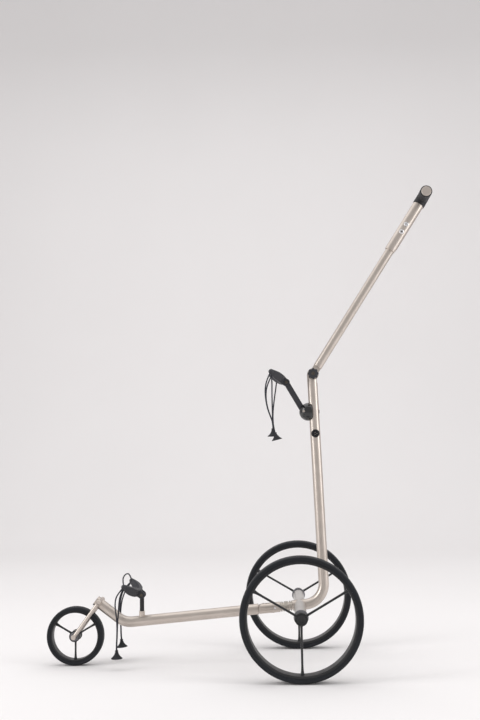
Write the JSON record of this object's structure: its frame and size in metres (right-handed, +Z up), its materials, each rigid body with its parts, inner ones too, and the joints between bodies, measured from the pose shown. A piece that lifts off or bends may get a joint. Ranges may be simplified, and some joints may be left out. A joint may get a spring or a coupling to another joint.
{
  "type": "three-wheeled golf trolley",
  "caption": "Folding three-wheeled golf push cart of bent titanium tube, with a hinged T-handle, elastic bag supports and quick-release rear wheels.",
  "frame": {"origin": "on the floor, under the middle of the trolley's outline seen from above", "axes": "+X towards the handle (rear), -X towards the front wheel; +Y to the trolley's right-hand side; +Z up"},
  "size_m": [0.978, 0.42, 1.173],
  "materials": {
    "titanium_tube": "satin titanium, warm grey, brushed along the tube",
    "light_tube": "satin light grey metal",
    "polished_steel": "polished stainless steel",
    "dark_fitting": "dark burnished metal",
    "spring_steel": "bright drawn spring wire",
    "bearing_steel": "ground steel with dark seals",
    "tyre": "matte black with a soft sheen",
    "wheel_centre": "fine-grained dark moulding",
    "black_moulding": "smooth black moulding",
    "gloss_housing": "gloss black",
    "soft_grey_moulding": "matte dark grey moulding",
    "grip_rubber": "soft black grip",
    "titanium_cap": "satin pale metal",
    "elastic_cord": "braided elastic cord",
    "toggle_rubber": "moulded black rubber"
  },
  "bodies": {
    "chassis": {"axle_tube": "light_tube", "rear_bend": "titanium_tube", "upright_tube": "titanium_tube", "axle_bushes": "light_tube", "stub_axles": "polished_steel", "chassis_screws": "dark_fitting", "knuckle_base": "titanium_tube", "hinge_pins": "polished_steel", "lock_spring": "spring_steel", "upright_clevis": "titanium_tube", "pivot_bolt": "polished_steel", "accessory_socket": "black_moulding", "support_housing": "gloss_housing"},
    "lock_slide": {"lock_collar": "titanium_tube", "lock_plunger": "polished_steel"},
    "front_frame": {"fold_tongue": "titanium_tube", "front_tube": "titanium_tube", "post_socket": "titanium_tube", "crown_bar": "titanium_tube", "fork_arms": "titanium_tube", "front_fasteners": "polished_steel", "lower_post": "black_moulding", "lower_fork_pin": "dark_fitting"},
    "front_wheel_unit": {"front_tyre": "tyre", "front_wheel": "wheel_centre", "front_bearings": "bearing_steel"},
    "left_wheel_unit": {"tyre_left": "tyre", "wheel_left": "wheel_centre", "bearings_left": "bearing_steel", "button_spring_left": "spring_steel"},
    "right_wheel_unit": {"tyre_right": "tyre", "wheel_right": "wheel_centre", "bearings_right": "bearing_steel", "button_spring_right": "spring_steel"},
    "left_button": {"release_button_left": "black_moulding"},
    "right_button": {"release_button_right": "black_moulding"},
    "handle": {"handle_tongue": "titanium_tube", "handle_lower_tube": "titanium_tube", "handle_upper_tube": "titanium_tube", "handle_collar": "titanium_tube", "clamp_screws": "polished_steel", "grip_bar": "light_tube", "grip_sleeve": "grip_rubber", "grip_caps": "titanium_cap"},
    "knob": {"star_knob": "soft_grey_moulding"},
    "upper_arm": {"support_arm": "soft_grey_moulding", "upper_fork_pin": "dark_fitting"},
    "upper_fork": {"upper_bag_fork": "soft_grey_moulding", "upper_toggles": "toggle_rubber", "upper_cord_left_front": "elastic_cord", "upper_cord_left_back": "elastic_cord", "upper_cord_right_front": "elastic_cord", "upper_cord_right_back": "elastic_cord"},
    "lower_fork": {"lower_bag_fork": "soft_grey_moulding", "lower_toggles": "toggle_rubber", "bridge_cord": "elastic_cord", "lower_cord_left_front": "elastic_cord", "lower_cord_left_back": "elastic_cord", "lower_cord_right_front": "elastic_cord", "lower_cord_right_back": "elastic_cord"}
  },
  "joints": [
    {"name": "left_wheel_spin", "type": "hinge", "parent": "chassis", "child": "left_wheel_unit", "pos_m": [0.13731, -0.191, 0.14], "axis": [0, 1, 0], "continuous": true},
    {"name": "right_wheel_spin", "type": "hinge", "parent": "chassis", "child": "right_wheel_unit", "pos_m": [0.13731, 0.191, 0.14], "axis": [0, 1, 0], "continuous": true},
    {"name": "front_wheel_spin", "type": "hinge", "parent": "front_frame", "child": "front_wheel_unit", "pos_m": [-0.41809, 0, 0.0709], "axis": [0, 1, 0], "continuous": true},
    {"name": "left_button_press", "type": "slide", "parent": "left_wheel_unit", "child": "left_button", "axis": [0, 1, 0], "range_m": [0, 0.0025], "stiffness_N_per_m": 500, "springref_m": -0.004, "deforming": ["button_spring_left"]},
    {"name": "right_button_press", "type": "slide", "parent": "right_wheel_unit", "child": "right_button", "axis": [0, -1, 0], "range_m": [0, 0.0025], "stiffness_N_per_m": 500, "springref_m": -0.004, "deforming": ["button_spring_right"]},
    {"name": "front_frame_fold", "type": "hinge", "parent": "chassis", "child": "front_frame", "pos_m": [0.04931, 0, 0.13326], "axis": [0, 1, 0], "range_deg": [0, 90]},
    {"name": "lock_collar_slide", "type": "slide", "parent": "chassis", "child": "lock_slide", "axis": [0.9959, 0, 0.091], "range_m": [0, 0.0046], "stiffness_N_per_m": 400, "springref_m": -0.004, "deforming": ["lock_spring"]},
    {"name": "handle_fold", "type": "hinge", "parent": "chassis", "child": "handle", "pos_m": [0.18256, 0, 0.7092], "axis": [0, 1, 0], "range_deg": [-25, 95]},
    {"name": "knob_turn", "type": "hinge", "parent": "chassis", "child": "knob", "pos_m": [0.18256, -0.022, 0.7092], "axis": [0, 1, 0], "continuous": true},
    {"name": "upper_arm_fold", "type": "hinge", "parent": "chassis", "child": "upper_arm", "pos_m": [0.15731, 0, 0.616], "axis": [0, 1, 0], "range_deg": [-35, 24]},
    {"name": "upper_fork_tilt", "type": "hinge", "parent": "upper_arm", "child": "upper_fork", "pos_m": [0.11531, 0, 0.6895], "axis": [0, 1, 0], "range_deg": [-20, 20]},
    {"name": "lower_fork_tilt", "type": "hinge", "parent": "front_frame", "child": "lower_fork", "pos_m": [-0.25269, 0, 0.16847], "axis": [0, 1, 0], "range_deg": [-20, 20]}
  ],
  "couplings": [
    {"joint": "lock_collar_slide", "follows": "front_frame_fold", "m_per_rad": 0.0028648}
  ]
}
